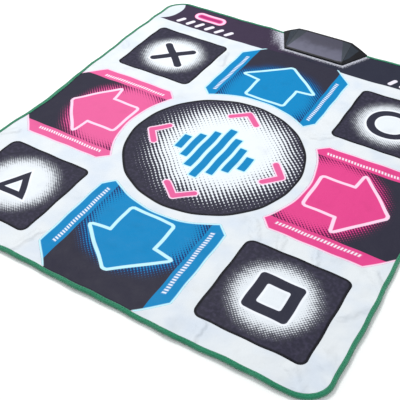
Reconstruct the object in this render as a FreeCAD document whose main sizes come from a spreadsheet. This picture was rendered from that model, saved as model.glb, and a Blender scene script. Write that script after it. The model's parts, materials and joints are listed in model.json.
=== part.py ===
import FreeCAD, Part
import os

import Sketcher
from FreeCAD import Placement, Rotation, Vector

# A soft floor mat with ten pressable zones and a hard control box, as a parametric document.
#
# Frame: millimetres, +Z up. The origin is on the floor under the middle of the mat.
# +Y points to the edge that carries the control box, +X to the right of a player who faces it.
# The zones lie on a 3 by 3 grid whose middle is grid_shift nearer the player than the origin.

SIZES = {
    # the mat's outline and its sheets, from the floor up
    "mat_width": 832, "mat_length": 924, "mat_corner": 50,
    "base_cover_thickness": 0.8, "base_foam_thickness": 1.5, "membrane_thickness": 0.3,
    "spacer_thickness": 2.0, "top_cover_thickness": 1.0,
    "sheet_inset": 1.0, "base_cover_inset": 7.0,
    # the tape sewn round the edge
    "binding_height": 6.5, "binding_width": 6.5, "binding_thickness": 0.6,
    # the zones, measured from the middle of the grid
    "grid_shift": 44, "zone_pitch": 270, "zone_gap": 0.3,
    "square_size": 194, "square_rounding": 15,
    "arrow_half_width": 137, "arrow_shoulder": 190, "arrow_hip": 367, "arrow_end": 409,
    "arrow_hollow": 203, "arrow_rounding": 5,
    "pill_length": 92, "pill_width": 38, "pill_rounding": 18, "pill_across": 283, "pill_along": 465,
    # the contacts under each zone
    "contact_inset": 12, "contact_thickness": 0.6, "track_thickness": 0.1,
    # the control box: its middle across the mat, and its front edge from the middle of the grid
    "box_across": 17, "box_along": 434, "box_depth": 69.5, "wall": 2.0,
    "front_half": 75, "front_bevel": 3, "front_height": 4.5, "lip_height": 3.0,
    "back_half": 110, "back_knee_half": 92, "back_knee_height": 12.5,
    "back_shoulder_half": 69, "back_shoulder_height": 23, "crest_half": 45, "crest_height": 24,
    # the opening through the mat's sheets, and the plate below that clamps them to the box
    "throat_length": 128, "throat_width": 47, "throat_along": 9,
    "plate_length": 144, "plate_width": 58, "plate_along": 3, "plate_thickness": 2.2,
    "plate_gap": 0.3, "screw_across": 57, "screw_front": 15, "screw_back": 51,
    "screw_radius": 1.15, "screw_head_radius": 2.5, "screw_head_height": 1.0, "screw_reach": 6.5,
    "screw_clearance": 0.15, "screw_hole_play": 0.3, "slot_width": 0.7, "slot_depth": 0.5,
    "boss_radius": 3.4, "front_boss_height": 7.6, "back_boss_height": 17.6,
    # the circuit board and what it carries
    "board_length": 96, "board_width": 32, "board_thickness": 1.6, "board_along": 30,
    "board_height": 9.2, "board_screw_across": 43, "board_screw_along": 46,
    "board_post_radius": 3.0, "board_post_height": 9.3, "board_screw_reach": 5.0,
    "chip_radius": 7, "chip_height": 1.6, "crystal_radius": 1.8, "crystal_length": 6,
    "crystal_across": 20, "capacitor_radius": 2.5, "capacitor_height": 4.5, "capacitor_across": 20,
    "terminal_length": 12.5, "terminal_width": 4.5, "terminal_height": 5.0, "terminal_across": 33,
    # the flat tail of the membranes and the bar that clamps it to the board
    "tail_width": 60, "tail_thickness": 0.25, "tail_run": 10, "bar_length": 68, "bar_width": 6,
    "bar_height": 2.0, "bar_screw_across": 32,
    # the bush that the cable passes through, in the back wall
    "bush_height": 17, "bush_bore": 2.6, "bush_neck": 4.0, "bush_flange": 5.6,
    "bush_flange_thickness": 2.4, "bush_lock_thickness": 1.2, "bush_gap": 0.1,
}

doc = FreeCAD.newDocument("dance_mat")
sheet = doc.addObject("Spreadsheet::Sheet", "sizes")
for row, (word, number) in enumerate(SIZES.items(), start=1):
    sheet.set(f"A{row}", word)
    sheet.set(f"B{row}", str(number))
    sheet.setAlias(f"B{row}", word)
doc.recompute()

probe = doc.addObject("App::FeaturePython", "probe")
probe.addProperty("App::PropertyFloat", "number")
nodes = {}


# ---------------------------------------------------------------- expressions and shared pieces

def value(expression):
    """The number that an expression has now, for a sketch's first guess."""
    probe.setExpression("number", expression)
    probe.recompute()
    return probe.number


def bind(thing, **expressions):
    """Binds properties to expressions; two underscores in a name stand for a dot."""
    for name, expression in expressions.items():
        thing.setExpression(name.replace("__", "."), expression)
    return thing


def moved(thing, across, along, up):
    return bind(thing, Placement__Base__x=across, Placement__Base__y=along, Placement__Base__z=up)


def node(name, thing):
    """Makes an object of the document one of the handed-over pieces."""
    thing.Label = name
    nodes[name] = thing
    return thing


def draw_outline(sketch, corners, hollow=None):
    """A closed outline through corners, each a pair of expressions. With hollow, the last side
    is an arc of that radius about the sketch's origin, between the last corner and the first."""
    points = [Vector(value(x), value(y), 0) for x, y in corners]
    last = len(corners) - 1
    for start in range(last if hollow else last + 1):
        sketch.addGeometry(Part.LineSegment(points[start], points[(start + 1) % len(points)]))
    if hollow:
        circle = Part.Circle(Vector(0, 0, 0), Vector(0, 0, 1), value(hollow))
        ends = [circle.parameter(points[0]), circle.parameter(points[last])]
        sketch.addGeometry(Part.ArcOfCircle(circle, *ends))
        sketch.addConstraint(Sketcher.Constraint("Coincident", last - 1, 2, last, 2))
        sketch.addConstraint(Sketcher.Constraint("Coincident", 0, 1, last, 1))
        sketch.addConstraint(Sketcher.Constraint("Coincident", last, 3, -1, 1))
        radius = sketch.addConstraint(Sketcher.Constraint("Radius", last, value(hollow)))
        sketch.setExpression(f"Constraints[{radius}]", hollow)
    else:
        sketch.addConstraint(Sketcher.Constraint("Coincident", last, 2, 0, 1))
    for side in range(last - 1 if hollow else last):
        sketch.addConstraint(Sketcher.Constraint("Coincident", side, 2, side + 1, 1))
    for corner, (x, y) in enumerate(corners):
        side, end = (corner, 1) if not (hollow and corner == last) else (last - 1, 2)
        across = sketch.addConstraint(Sketcher.Constraint("DistanceX", -1, 1, side, end, value(x)))
        sketch.setExpression(f"Constraints[{across}]", x)
        if hollow and corner in (0, last):
            continue
        along = sketch.addConstraint(Sketcher.Constraint("DistanceY", -1, 1, side, end, value(y)))
        sketch.setExpression(f"Constraints[{along}]", y)
    return sketch


def outline(name, corners, hollow=None):
    return draw_outline(doc.addObject("Sketcher::SketchObject", name), corners, hollow)


def rectangle(half_x, half_y):
    return [(f"-({half_x})", f"-({half_y})"), (half_x, f"-({half_y})"),
            (half_x, half_y), (f"-({half_x})", half_y)]


def slab(name, source, growth, bottom, thickness):
    """A sheet cut to an outline that is grown with round corners, or shrunk if growth is less
    than nothing."""
    edge = bind(doc.addObject("Part::Offset2D", name + "_edge"), Value=growth)
    edge.Source = source
    solid = doc.addObject("Part::Extrusion", name)
    solid.Base = edge
    solid.DirMode = "Custom"
    solid.Dir = Vector(0, 0, 1)
    solid.Solid = True
    return bind(solid, LengthFwd=thickness, Placement__Base__z=bottom)


def box(name, length, width, height, across, along, up):
    """A box that is centred on across, and starts at along and up."""
    solid = bind(doc.addObject("Part::Box", name), Length=length, Width=width, Height=height)
    return moved(solid, f"{across} - ({length}) / 2", along, up)


def cylinder(name, radius, height, across, along, up, backwards=False):
    """A cylinder that stands on across, along, up, or lies from there towards +Y."""
    solid = bind(doc.addObject("Part::Cylinder", name), Radius=radius, Height=height)
    if backwards:
        solid.Placement = Placement(Vector(0, 0, 0), Rotation(Vector(1, 0, 0), -90))
    return moved(solid, across, along, up)


def cut(name, base, *tools):
    result = doc.addObject("Part::Cut", name)
    result.Base = base
    result.Tool = tools[0] if len(tools) == 1 else group(name + "_tools", tools)
    return result


def fused(name, *shapes):
    result = doc.addObject("Part::MultiFuse", name)
    result.Shapes = list(shapes)
    return result


def group(name, solids):
    """Separate solids that share one node."""
    result = doc.addObject("Part::Compound", name)
    result.Links = list(solids)
    return result


# ---------------------------------------------------------------- levels and places

FOAM_LEVEL = "sizes.base_cover_thickness"
LOWER_MEMBRANE_LEVEL = f"({FOAM_LEVEL} + sizes.base_foam_thickness)"
SPACER_LEVEL = f"({LOWER_MEMBRANE_LEVEL} + sizes.membrane_thickness)"
UPPER_MEMBRANE_LEVEL = f"({SPACER_LEVEL} + sizes.spacer_thickness)"
TOP_COVER_LEVEL = f"({UPPER_MEMBRANE_LEVEL} + sizes.membrane_thickness)"
SURFACE_LEVEL = f"({TOP_COVER_LEVEL} + sizes.top_cover_thickness)"
STACK_HEIGHT = f"({SURFACE_LEVEL} + 1)"

BOX_X = "sizes.box_across"
BOX_Y = "(sizes.box_along - sizes.grid_shift)"
BOARD_LEVEL = f"({LOWER_MEMBRANE_LEVEL} + sizes.board_height)"
BOARD_TOP = f"({BOARD_LEVEL} + sizes.board_thickness)"
BOX_SCREW_SEAT = "(sizes.screw_head_height + sizes.screw_hole_play)"


# ---------------------------------------------------------------- zones

def arrow_outline():
    """The zone beyond the round middle of the grid, drawn for the +Y direction and smaller than
    the zone by arrow_rounding all round."""
    inner_line = "(sizes.arrow_shoulder - sizes.arrow_half_width + sizes.arrow_rounding * sqrt(2))"
    outer_line = "(sizes.arrow_hip + sizes.arrow_half_width - sizes.arrow_rounding * sqrt(2))"
    side = "(sizes.arrow_half_width - sizes.arrow_rounding)"
    end = "(sizes.arrow_end - sizes.arrow_rounding)"
    hollow = "(sizes.arrow_hollow + sizes.arrow_rounding)"
    tip = f"((sqrt(2 * {hollow} ^ 2 - {inner_line} ^ 2) - {inner_line}) / 2)"
    right = [(tip, f"{tip} + {inner_line}"), (side, f"{side} + {inner_line}"),
             (side, f"{outer_line} - {side}"), (f"{outer_line} - {end}", end)]
    left = [(f"-({x})", y) for x, y in reversed(right)]
    return outline("arrow_outline", right + left, hollow)


def square_outline():
    half = "(sizes.square_size / 2 - sizes.square_rounding)"
    return outline("square_outline", rectangle(half, half))


def pill_outline():
    return outline("pill_outline", rectangle("(sizes.pill_length / 2 - sizes.pill_rounding)",
                                             "(sizes.pill_width / 2 - sizes.pill_rounding)"))


ARROW = arrow_outline(), "sizes.arrow_rounding"
SQUARE = square_outline(), "sizes.square_rounding"
PILL = pill_outline(), "sizes.pill_rounding"

LEFT_COLUMN, RIGHT_COLUMN = "-sizes.zone_pitch", "sizes.zone_pitch"
FRONT_ROW = "(-sizes.zone_pitch - sizes.grid_shift)"
BACK_ROW = "(sizes.zone_pitch - sizes.grid_shift)"
PILL_ROW = "(sizes.pill_along - sizes.grid_shift)"

# name: the outline with its rounding, where its origin lies, and its turn about +Z in degrees
ZONES = {
    "up_arrow": (ARROW, "0", "-sizes.grid_shift", 0),
    "left_arrow": (ARROW, "0", "-sizes.grid_shift", 90),
    "down_arrow": (ARROW, "0", "-sizes.grid_shift", 180),
    "right_arrow": (ARROW, "0", "-sizes.grid_shift", 270),
    "cross": (SQUARE, LEFT_COLUMN, BACK_ROW, 0),
    "ring": (SQUARE, RIGHT_COLUMN, BACK_ROW, 0),
    "triangle": (SQUARE, LEFT_COLUMN, FRONT_ROW, 0),
    "square": (SQUARE, RIGHT_COLUMN, FRONT_ROW, 0),
    "select": (PILL, "-sizes.pill_across", PILL_ROW, 0),
    "start": (PILL, "sizes.pill_across", PILL_ROW, 0),
}


def zone_slab(name, zone, growth, bottom, thickness):
    (source, rounding), across, along, turn = ZONES[zone]
    solid = slab(name, source, f"{rounding} + ({growth})", bottom, thickness)
    solid.Placement = Placement(Vector(0, 0, 0), Rotation(Vector(0, 0, 1), turn))
    return moved(solid, across, along, bottom)


def make_zones():
    """Each zone's panel, and the conductive pad that hangs below it and travels with it."""
    for zone in ZONES:
        panel = zone_slab(f"{zone}_skin", zone, "-sizes.zone_gap", TOP_COVER_LEVEL,
                          "sizes.top_cover_thickness")
        node(f"{zone}_panel", panel)
        pad = zone_slab(f"{zone}_pad", zone, "-sizes.contact_inset",
                        f"{TOP_COVER_LEVEL} - sizes.contact_thickness", "sizes.contact_thickness")
        node(f"{zone}_contact", pad)


def make_lower_contacts():
    tracks = [zone_slab(f"{zone}_track", zone, "-sizes.contact_inset", SPACER_LEVEL,
                        "sizes.track_thickness") for zone in ZONES]
    node("lower_contact_pads", group("track_print", tracks))


# ---------------------------------------------------------------- the mat's sheets and binding

mat_outline = outline("mat_outline", rectangle("(sizes.mat_width / 2 - sizes.mat_corner)",
                                               "(sizes.mat_length / 2 - sizes.mat_corner)"))
zone_windows = group("zone_windows", [
    zone_slab(f"{zone}_window", zone, "0", SPACER_LEVEL, f"{STACK_HEIGHT} - {SPACER_LEVEL}")
    for zone in ZONES])
throat = box("throat", "sizes.throat_length", "sizes.throat_width", STACK_HEIGHT,
             BOX_X, f"{BOX_Y} + sizes.throat_along", "0")
plate_opening = box("plate_opening", "sizes.plate_length + 2 * sizes.plate_gap",
                    "sizes.plate_width + 2 * sizes.plate_gap", f"{STACK_HEIGHT}", BOX_X,
                    f"{BOX_Y} + sizes.plate_along - sizes.plate_gap", "-1")


def mat_sheet(name, inset, bottom, thickness, *openings):
    sheet_blank = slab(name + "_blank", mat_outline, f"sizes.mat_corner - {inset}", bottom, thickness)
    node(name, cut(name + "_cut", sheet_blank, *openings))


def make_sheets():
    """The covers are PVC, the membranes polyester film, and the base and spacer foam. The base
    cover and its foam are open for the clamping plate, and all above it for the box's throat."""
    mat_sheet("base_cover", "sizes.base_cover_inset", "0", "sizes.base_cover_thickness", plate_opening)
    mat_sheet("base_foam", "sizes.sheet_inset", FOAM_LEVEL, "sizes.base_foam_thickness", plate_opening)
    mat_sheet("lower_membrane", "sizes.sheet_inset", LOWER_MEMBRANE_LEVEL,
              "sizes.membrane_thickness", throat)
    mat_sheet("spacer_foam", "sizes.sheet_inset", SPACER_LEVEL, "sizes.spacer_thickness",
              throat, zone_windows)
    mat_sheet("upper_membrane", "sizes.sheet_inset", UPPER_MEMBRANE_LEVEL,
              "sizes.membrane_thickness", throat, zone_windows)
    mat_sheet("top_cover", "sizes.sheet_inset", TOP_COVER_LEVEL, "sizes.top_cover_thickness",
              throat, zone_windows)


def make_binding():
    """A tape folded over the edge of the sheets: a wall with a flange above and one below."""
    whole = slab("tape_blank", mat_outline, "sizes.mat_corner", "0", "sizes.binding_height")
    fold = slab("tape_fold", mat_outline, "sizes.mat_corner - sizes.binding_thickness",
                "sizes.binding_thickness", "sizes.binding_height - 2 * sizes.binding_thickness")
    middle = slab("tape_middle", mat_outline, "sizes.mat_corner - sizes.binding_width", "-1",
                  "sizes.binding_height + 2")
    node("edge_binding", cut("tape_cut", whole, fold, middle))


# ---------------------------------------------------------------- the control box

def loft_section(body, name, corners, along):
    """A closed profile across the box, in a plane that stands along behind the front edge."""
    plane = next(item for item in body.Origin.OriginFeatures if item.Role == "XZ_Plane")
    sketch = body.newObject("Sketcher::SketchObject", name)
    sketch.AttachmentSupport = (plane, "")
    sketch.MapMode = "FlatFace"
    sketch.setExpression("AttachmentOffset.Base.z", f"-({along})")
    return draw_outline(sketch, corners)


def mirrored(right):
    return right + [(f"-({x})", y) for x, y in reversed(right)]


def hip_section(body, name, halves, heights, inset, bottom, along):
    """The box's profile: a lip, a knee, a shoulder and a flat crest, each side the same."""
    right = [(f"{halves[0]} - {inset}", bottom)]
    right += [(f"{half} - {inset}", f"{height} - {inset}")
              for half, height in zip(halves[1:], heights)]
    return loft_section(body, name, mirrored(right), along)


def box_loft(body, kind, name, inset, bottom, front, back):
    front_halves = ["sizes.front_half", "sizes.front_half", "sizes.front_half - sizes.front_bevel * 0.6",
                    "sizes.front_half - sizes.front_bevel * 0.8", "sizes.front_half - sizes.front_bevel"]
    front_heights = ["sizes.lip_height", "sizes.front_height - 0.3", "sizes.front_height - 0.1",
                     "sizes.front_height"]
    back_halves = ["sizes.back_half", "sizes.back_half", "sizes.back_knee_half",
                   "sizes.back_shoulder_half", "sizes.crest_half"]
    back_heights = ["sizes.lip_height", "sizes.back_knee_height", "sizes.back_shoulder_height",
                    "sizes.crest_height"]
    first = hip_section(body, name + "_front", front_halves, front_heights, inset, bottom, front)
    second = hip_section(body, name + "_back", back_halves, back_heights, inset, bottom, back)
    loft = body.newObject(kind, name)
    loft.Profile = first
    loft.Sections = [second]
    loft.Ruled = True
    return loft


def make_box_top():
    """A hollow hipped shell on the top cover, relieved where it crosses the edge tape. Four
    bosses reach down through the throat to the clamping plate, and two posts hold the board."""
    body = doc.addObject("PartDesign::Body", "box_shell")
    box_loft(body, "PartDesign::AdditiveLoft", "shell_outside", "0", "0", "0", "sizes.box_depth")
    doc.recompute()
    solid_volume = body.Shape.Volume
    box_loft(body, "PartDesign::SubtractiveLoft", "shell_inside", "sizes.wall", "-1", "sizes.wall",
             "sizes.box_depth - sizes.wall")
    doc.recompute()
    if not 0 < body.Shape.Volume < 0.6 * solid_volume:
        raise ValueError("the shell's inside was not cut")
    moved(body, BOX_X, BOX_Y, SURFACE_LEVEL)

    bosses, pilots = [], []
    boss_bottom = "sizes.plate_thickness"
    for row in ("front", "back"):
        top = f"({SURFACE_LEVEL} + sizes.{row}_boss_height)"
        for side, sign in (("left", "-"), ("right", "+")):
            place = f"{BOX_X} {sign} sizes.screw_across", f"{BOX_Y} + sizes.screw_{row}"
            bosses.append(cylinder(f"{row}_{side}_boss", "sizes.boss_radius",
                                   f"{top} - {boss_bottom}", *place, boss_bottom))
            pilots.append(cylinder(f"{row}_{side}_pilot", "sizes.screw_radius + sizes.screw_clearance",
                                   "sizes.screw_reach + 0.5", *place, boss_bottom))
    for side, sign in (("left", "-"), ("right", "+")):
        place = f"{BOX_X} {sign} sizes.board_screw_across", f"{BOX_Y} + sizes.board_screw_along"
        bosses.append(cylinder(f"{side}_board_post", "sizes.board_post_radius",
                               "sizes.board_post_height", *place, BOARD_TOP))
        pilots.append(cylinder(f"{side}_board_pilot", "sizes.screw_radius + sizes.screw_clearance",
                               "sizes.board_screw_reach - sizes.board_thickness + 0.5", *place,
                               BOARD_TOP))
    bush_hole = cylinder("bush_hole", "sizes.bush_neck + sizes.bush_gap", "3 * sizes.wall", BOX_X,
                         f"{BOX_Y} + sizes.box_depth - 2 * sizes.wall", "sizes.bush_height", True)
    tape_relief = box("tape_relief", "2 * sizes.back_half + 2", "sizes.binding_width + 2",
                      "sizes.binding_height + 0.3", BOX_X,
                      "sizes.mat_length / 2 - sizes.binding_width - 0.5", "0")
    node("control_box_top", cut("box_top_cut", fused("box_top_fused", body, *bosses),
                                *pilots, bush_hole, tape_relief))


def screw_places():
    for row in ("front", "back"):
        for sign in ("-", "+"):
            yield (f"{BOX_X} {sign} sizes.screw_across", f"{BOX_Y} + sizes.screw_{row}")


def make_clamp_plate():
    """The plate under the mat that the screws pull up against the sheets."""
    blank = box("plate_blank", "sizes.plate_length", "sizes.plate_width", "sizes.plate_thickness",
                BOX_X, f"{BOX_Y} + sizes.plate_along", "0")
    holes = []
    for index, place in enumerate(screw_places()):
        holes.append(cylinder(f"plate_hole_{index}", "sizes.screw_radius + sizes.screw_hole_play",
                              "sizes.plate_thickness + 2", *place, "-1"))
        holes.append(cylinder(f"plate_counterbore_{index}",
                              "sizes.screw_head_radius + sizes.screw_hole_play", BOX_SCREW_SEAT,
                              *place, "0"))
    node("clamp_plate", cut("plate_cut", blank, *holes))


def screw(name, place, seat, reach):
    """A pan-head screw from below: its head hangs under seat and its shank rises reach."""
    head = cylinder(name + "_head", "sizes.screw_head_radius", "sizes.screw_head_height", *place,
                    f"{seat} - sizes.screw_head_height")
    slot = box(name + "_slot", "2 * sizes.screw_head_radius + 1", "sizes.slot_width",
               "sizes.slot_depth", place[0], f"{place[1]} - sizes.slot_width / 2",
               f"{seat} - sizes.screw_head_height")
    shank = cylinder(name + "_shank", "sizes.screw_radius", reach, *place, seat)
    return fused(name, cut(name + "_slotted_head", head, slot), shank)


def make_box_screws():
    reach = f"sizes.plate_thickness - {BOX_SCREW_SEAT} + sizes.screw_reach"
    screws = [screw(f"box_screw_{index}", place, BOX_SCREW_SEAT, reach)
              for index, place in enumerate(screw_places())]
    node("box_screws", group("box_screw_set", screws))


# ---------------------------------------------------------------- the electronics

def board_screw_places():
    along = f"{BOX_Y} + sizes.board_screw_along"
    return [(f"{BOX_X} {sign} sizes.board_screw_across", along) for sign in ("-", "+")]


def bar_screw_places():
    along = f"{BOX_Y} + sizes.board_along + sizes.bar_width / 2 + 1"
    return [(f"{BOX_X} {sign} sizes.bar_screw_across", along) for sign in ("-", "+")]


def screw_holes(name, places, bottom, height):
    return [cylinder(f"{name}_hole_{index}", "sizes.screw_radius + sizes.screw_clearance", height,
                     *place, bottom) for index, place in enumerate(places)]


def make_board():
    blank = box("board_blank", "sizes.board_length", "sizes.board_width", "sizes.board_thickness",
                BOX_X, f"{BOX_Y} + sizes.board_along", BOARD_LEVEL)
    places = board_screw_places() + bar_screw_places()
    holes = screw_holes("board", places, f"{BOARD_LEVEL} - 1", "sizes.board_thickness + 2")
    node("circuit_board", cut("board_cut", blank, *holes))
    screws = [screw(f"board_screw_{index}", place, BOARD_LEVEL, "sizes.board_screw_reach")
              for index, place in enumerate(board_screw_places())]
    node("board_screws", group("board_screw_set", screws))


def make_board_components():
    middle = f"{BOX_Y} + sizes.board_along + sizes.board_width * 0.6"
    chip = bind(doc.addObject("Part::Cone", "chip_blob"), Radius1="sizes.chip_radius",
                Radius2="sizes.chip_radius * 0.6", Height="sizes.chip_height")
    node("controller_chip", moved(chip, BOX_X, middle, BOARD_TOP))
    node("crystal", cylinder("crystal_can", "sizes.crystal_radius", "sizes.crystal_length",
                             f"{BOX_X} - sizes.crystal_across", f"{middle} - sizes.crystal_length / 2",
                             f"{BOARD_TOP} + sizes.crystal_radius", True))
    node("capacitor", cylinder("capacitor_can", "sizes.capacitor_radius", "sizes.capacitor_height",
                               f"{BOX_X} + sizes.capacitor_across", middle, BOARD_TOP))
    node("cable_terminal", box("terminal_block", "sizes.terminal_length", "sizes.terminal_width",
                               "sizes.terminal_height", f"{BOX_X} + sizes.terminal_across",
                               f"{middle} + 2", BOARD_TOP))


def make_tail():
    """The membranes' printed tail rises through the throat and lies under the board's edge."""
    body = doc.addObject("PartDesign::Body", "tail_body")
    plane = next(item for item in body.Origin.OriginFeatures if item.Role == "YZ_Plane")
    path = body.newObject("Sketcher::SketchObject", "tail_path")
    path.AttachmentSupport = (plane, "")
    path.MapMode = "FlatFace"
    start, rise = "0", "sizes.tail_run"
    end = "(sizes.board_along - sizes.throat_along + sizes.bar_width + 2)"
    low = "0"
    high = f"({BOARD_LEVEL} - {UPPER_MEMBRANE_LEVEL} - sizes.tail_thickness)"
    bend = "(sizes.board_along - sizes.throat_along)"
    under = [(start, low), (rise, low), (bend, high), (end, high)]
    over = [(end, f"{high} + sizes.tail_thickness"), (f"{bend} - 0.1", f"{high} + sizes.tail_thickness"),
            (f"{rise} - 0.1", f"{low} + sizes.tail_thickness"), (start, f"{low} + sizes.tail_thickness")]
    draw_outline(path, under + over)
    strip = bind(body.newObject("PartDesign::Pad", "tail_strip"), Length="sizes.tail_width")
    strip.Profile = path
    strip.Midplane = True
    moved(body, BOX_X, f"{BOX_Y} + sizes.throat_along", UPPER_MEMBRANE_LEVEL)
    node("membrane_tail", body)


def make_tail_clamp():
    bottom = f"({BOARD_LEVEL} - sizes.tail_thickness - sizes.bar_height)"
    blank = box("bar_blank", "sizes.bar_length", "sizes.bar_width", "sizes.bar_height", BOX_X,
                f"{BOX_Y} + sizes.board_along + 1", bottom)
    holes = screw_holes("bar", bar_screw_places(), f"{bottom} - 1", "sizes.bar_height + 2")
    node("tail_clamp_bar", cut("bar_cut", blank, *holes))
    reach = "sizes.bar_height + sizes.tail_thickness + sizes.board_thickness + 0.8"
    screws = [screw(f"bar_screw_{index}", place, bottom, reach)
              for index, place in enumerate(bar_screw_places())]
    node("tail_clamp_screws", group("bar_screw_set", screws))


def make_cable_bush():
    """A flanged bush in the back wall with a ring inside that keeps it there."""
    back = f"{BOX_Y} + sizes.box_depth"
    neck = cylinder("bush_neck", "sizes.bush_neck", "sizes.wall + sizes.bush_lock_thickness", BOX_X,
                    f"{back} - sizes.wall - sizes.bush_lock_thickness", "sizes.bush_height", True)
    flange = cylinder("bush_flange", "sizes.bush_flange", "sizes.bush_flange_thickness", BOX_X, back,
                      "sizes.bush_height", True)
    lock = cylinder("bush_lock", "sizes.bush_neck + 0.8", "sizes.bush_lock_thickness", BOX_X,
                    f"{back} - sizes.wall - sizes.bush_lock_thickness", "sizes.bush_height", True)
    bore = cylinder("bush_bore", "sizes.bush_bore", "20", BOX_X, f"{back} - 10", "sizes.bush_height",
                    True)
    node("cable_bush", cut("bush_cut", fused("bush_fused", neck, flange, lock), bore))


# ---------------------------------------------------------------- build, check and write

make_zones()
make_lower_contacts()
make_sheets()
make_binding()
make_box_top()
make_clamp_plate()
make_box_screws()
make_board()
make_board_components()
make_tail()
make_tail_clamp()
make_cable_bush()
doc.removeObject("probe")
doc.recompute()

for item in doc.Objects:
    if "Invalid" in item.State or "Error" in item.State:
        raise RuntimeError(f"{item.Name} failed: {item.State}")

os.makedirs("parts", exist_ok=True)
for name, piece in nodes.items():
    shape = piece.Shape
    if shape.isNull() or not shape.isValid() or not shape.Solids:
        raise RuntimeError(f"{name} has no valid solid")
    shape.exportStep(f"parts/{name}.step")
    print(f"{name:24s} {len(shape.Solids):3d} solid(s) {shape.Volume / 1000:9.2f} cm3")
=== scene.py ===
import json
import math

import bmesh
import bpy
import numpy as np
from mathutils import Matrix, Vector


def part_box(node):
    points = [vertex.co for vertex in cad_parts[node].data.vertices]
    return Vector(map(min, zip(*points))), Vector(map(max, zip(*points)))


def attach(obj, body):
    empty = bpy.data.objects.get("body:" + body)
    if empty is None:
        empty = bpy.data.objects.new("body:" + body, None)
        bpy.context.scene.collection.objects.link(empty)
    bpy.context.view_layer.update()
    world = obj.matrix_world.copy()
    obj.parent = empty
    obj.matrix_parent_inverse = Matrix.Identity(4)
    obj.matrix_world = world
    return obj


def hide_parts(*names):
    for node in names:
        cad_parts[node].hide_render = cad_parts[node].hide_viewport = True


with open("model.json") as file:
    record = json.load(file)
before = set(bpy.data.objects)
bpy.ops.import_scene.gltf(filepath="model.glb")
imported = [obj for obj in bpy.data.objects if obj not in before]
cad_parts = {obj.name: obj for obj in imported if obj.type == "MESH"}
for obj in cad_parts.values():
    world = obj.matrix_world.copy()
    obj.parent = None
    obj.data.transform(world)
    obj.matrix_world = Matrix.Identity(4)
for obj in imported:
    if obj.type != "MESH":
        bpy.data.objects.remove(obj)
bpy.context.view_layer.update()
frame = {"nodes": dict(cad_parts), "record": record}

# The looks of a soft dance mat and its control box, built around the CAD frame. Places are in
# metres in the frame's own axes. Prints are drawn in millimetres from the middle of the grid of
# zones, on the flat cloth, so that they stay on the cloth where it waves.

MM = 0.001


def middle(node):
    low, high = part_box(node)
    return (low + high) / 2


GRID = Vector((0, middle("left_arrow_panel").y, 0))
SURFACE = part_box("top_cover")[1].z
BOX_LOW, BOX_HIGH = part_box("control_box_top")
BOX_X = middle("control_box_top").x

ARROWS = {"up_arrow": 0, "left_arrow": 90, "down_arrow": 180, "right_arrow": 270}
SYMBOLS = ("cross", "ring", "triangle", "square")
PILLS = ("select", "start")


# ------------------------------------------------------------------ camera, floor and light

AZIMUTH, ELEVATION = math.radians(31.25), math.radians(42.56)
DISTANCE = 1.297
TARGET = GRID + Vector((0.0491, -0.1340, SURFACE))
LENS = 63.2


def make_camera():
    data = bpy.data.cameras.new("camera")
    data.lens = LENS
    camera = bpy.data.objects.new("camera", data)
    bpy.context.scene.collection.objects.link(camera)
    back = Vector((math.sin(AZIMUTH) * math.cos(ELEVATION), -math.cos(AZIMUTH) * math.cos(ELEVATION),
                   math.sin(ELEVATION)))
    camera.location = TARGET + back * DISTANCE
    camera.rotation_euler = (-back).to_track_quat("-Z", "Y").to_euler()
    bpy.context.scene.camera = camera


def make_light(name, place, aim, size, power, colour):
    data = bpy.data.lights.new(name, "AREA")
    data.shape, data.size, data.energy, data.color = "DISK", size, power, colour
    lamp = bpy.data.objects.new(name, data)
    bpy.context.scene.collection.objects.link(lamp)
    lamp.location = place
    lamp.rotation_euler = (Vector(aim) - Vector(place)).to_track_quat("-Z", "Y").to_euler()


def make_stage():
    bpy.ops.mesh.primitive_plane_add(size=40, location=(0, 0, -0.0004))
    floor = bpy.context.object
    floor.name = "floor"
    material = bpy.data.materials.new("floor")
    material.use_nodes = True
    shader = material.node_tree.nodes["Principled BSDF"]
    shader.inputs["Base Color"].default_value = (0.93, 0.935, 0.94, 1)
    shader.inputs["Roughness"].default_value = 0.8
    floor.data.materials.append(material)
    make_world()
    make_light("key", (-0.9, 0.7, 2.2), (0, 0, 0), 0.8, 36, (1.0, 0.985, 0.96))
    bpy.context.scene.view_settings.view_transform = "Standard"


def make_world():
    """A soft studio: a bright ceiling, and light that fades towards the floor, in front of a pale
    wall."""
    world = bpy.data.worlds.new("studio")
    world.use_nodes = True
    Num.tree = world.node_tree
    background = Num.tree.nodes["Background"]
    place = Num.tree.nodes.new("ShaderNodeTexCoord")
    split_up = Num.tree.nodes.new("ShaderNodeSeparateXYZ")
    Num.tree.links.new(place.outputs["Generated"], split_up.inputs[0])
    height = Num(split_up.outputs["Z"])
    light = mix((0.16, 0.17, 0.19), (0.97, 0.985, 1.0), ramp(height, -0.05, 0.75))
    seen = Num(Num.tree.nodes.new("ShaderNodeLightPath").outputs["Is Camera Ray"])
    wire(mix(light, (0.97, 0.975, 0.98), seen), background.inputs["Color"])
    background.inputs["Strength"].default_value = 0.90
    bpy.context.scene.world = world


# ------------------------------------------------------------------ the shape of the soft mat

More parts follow.
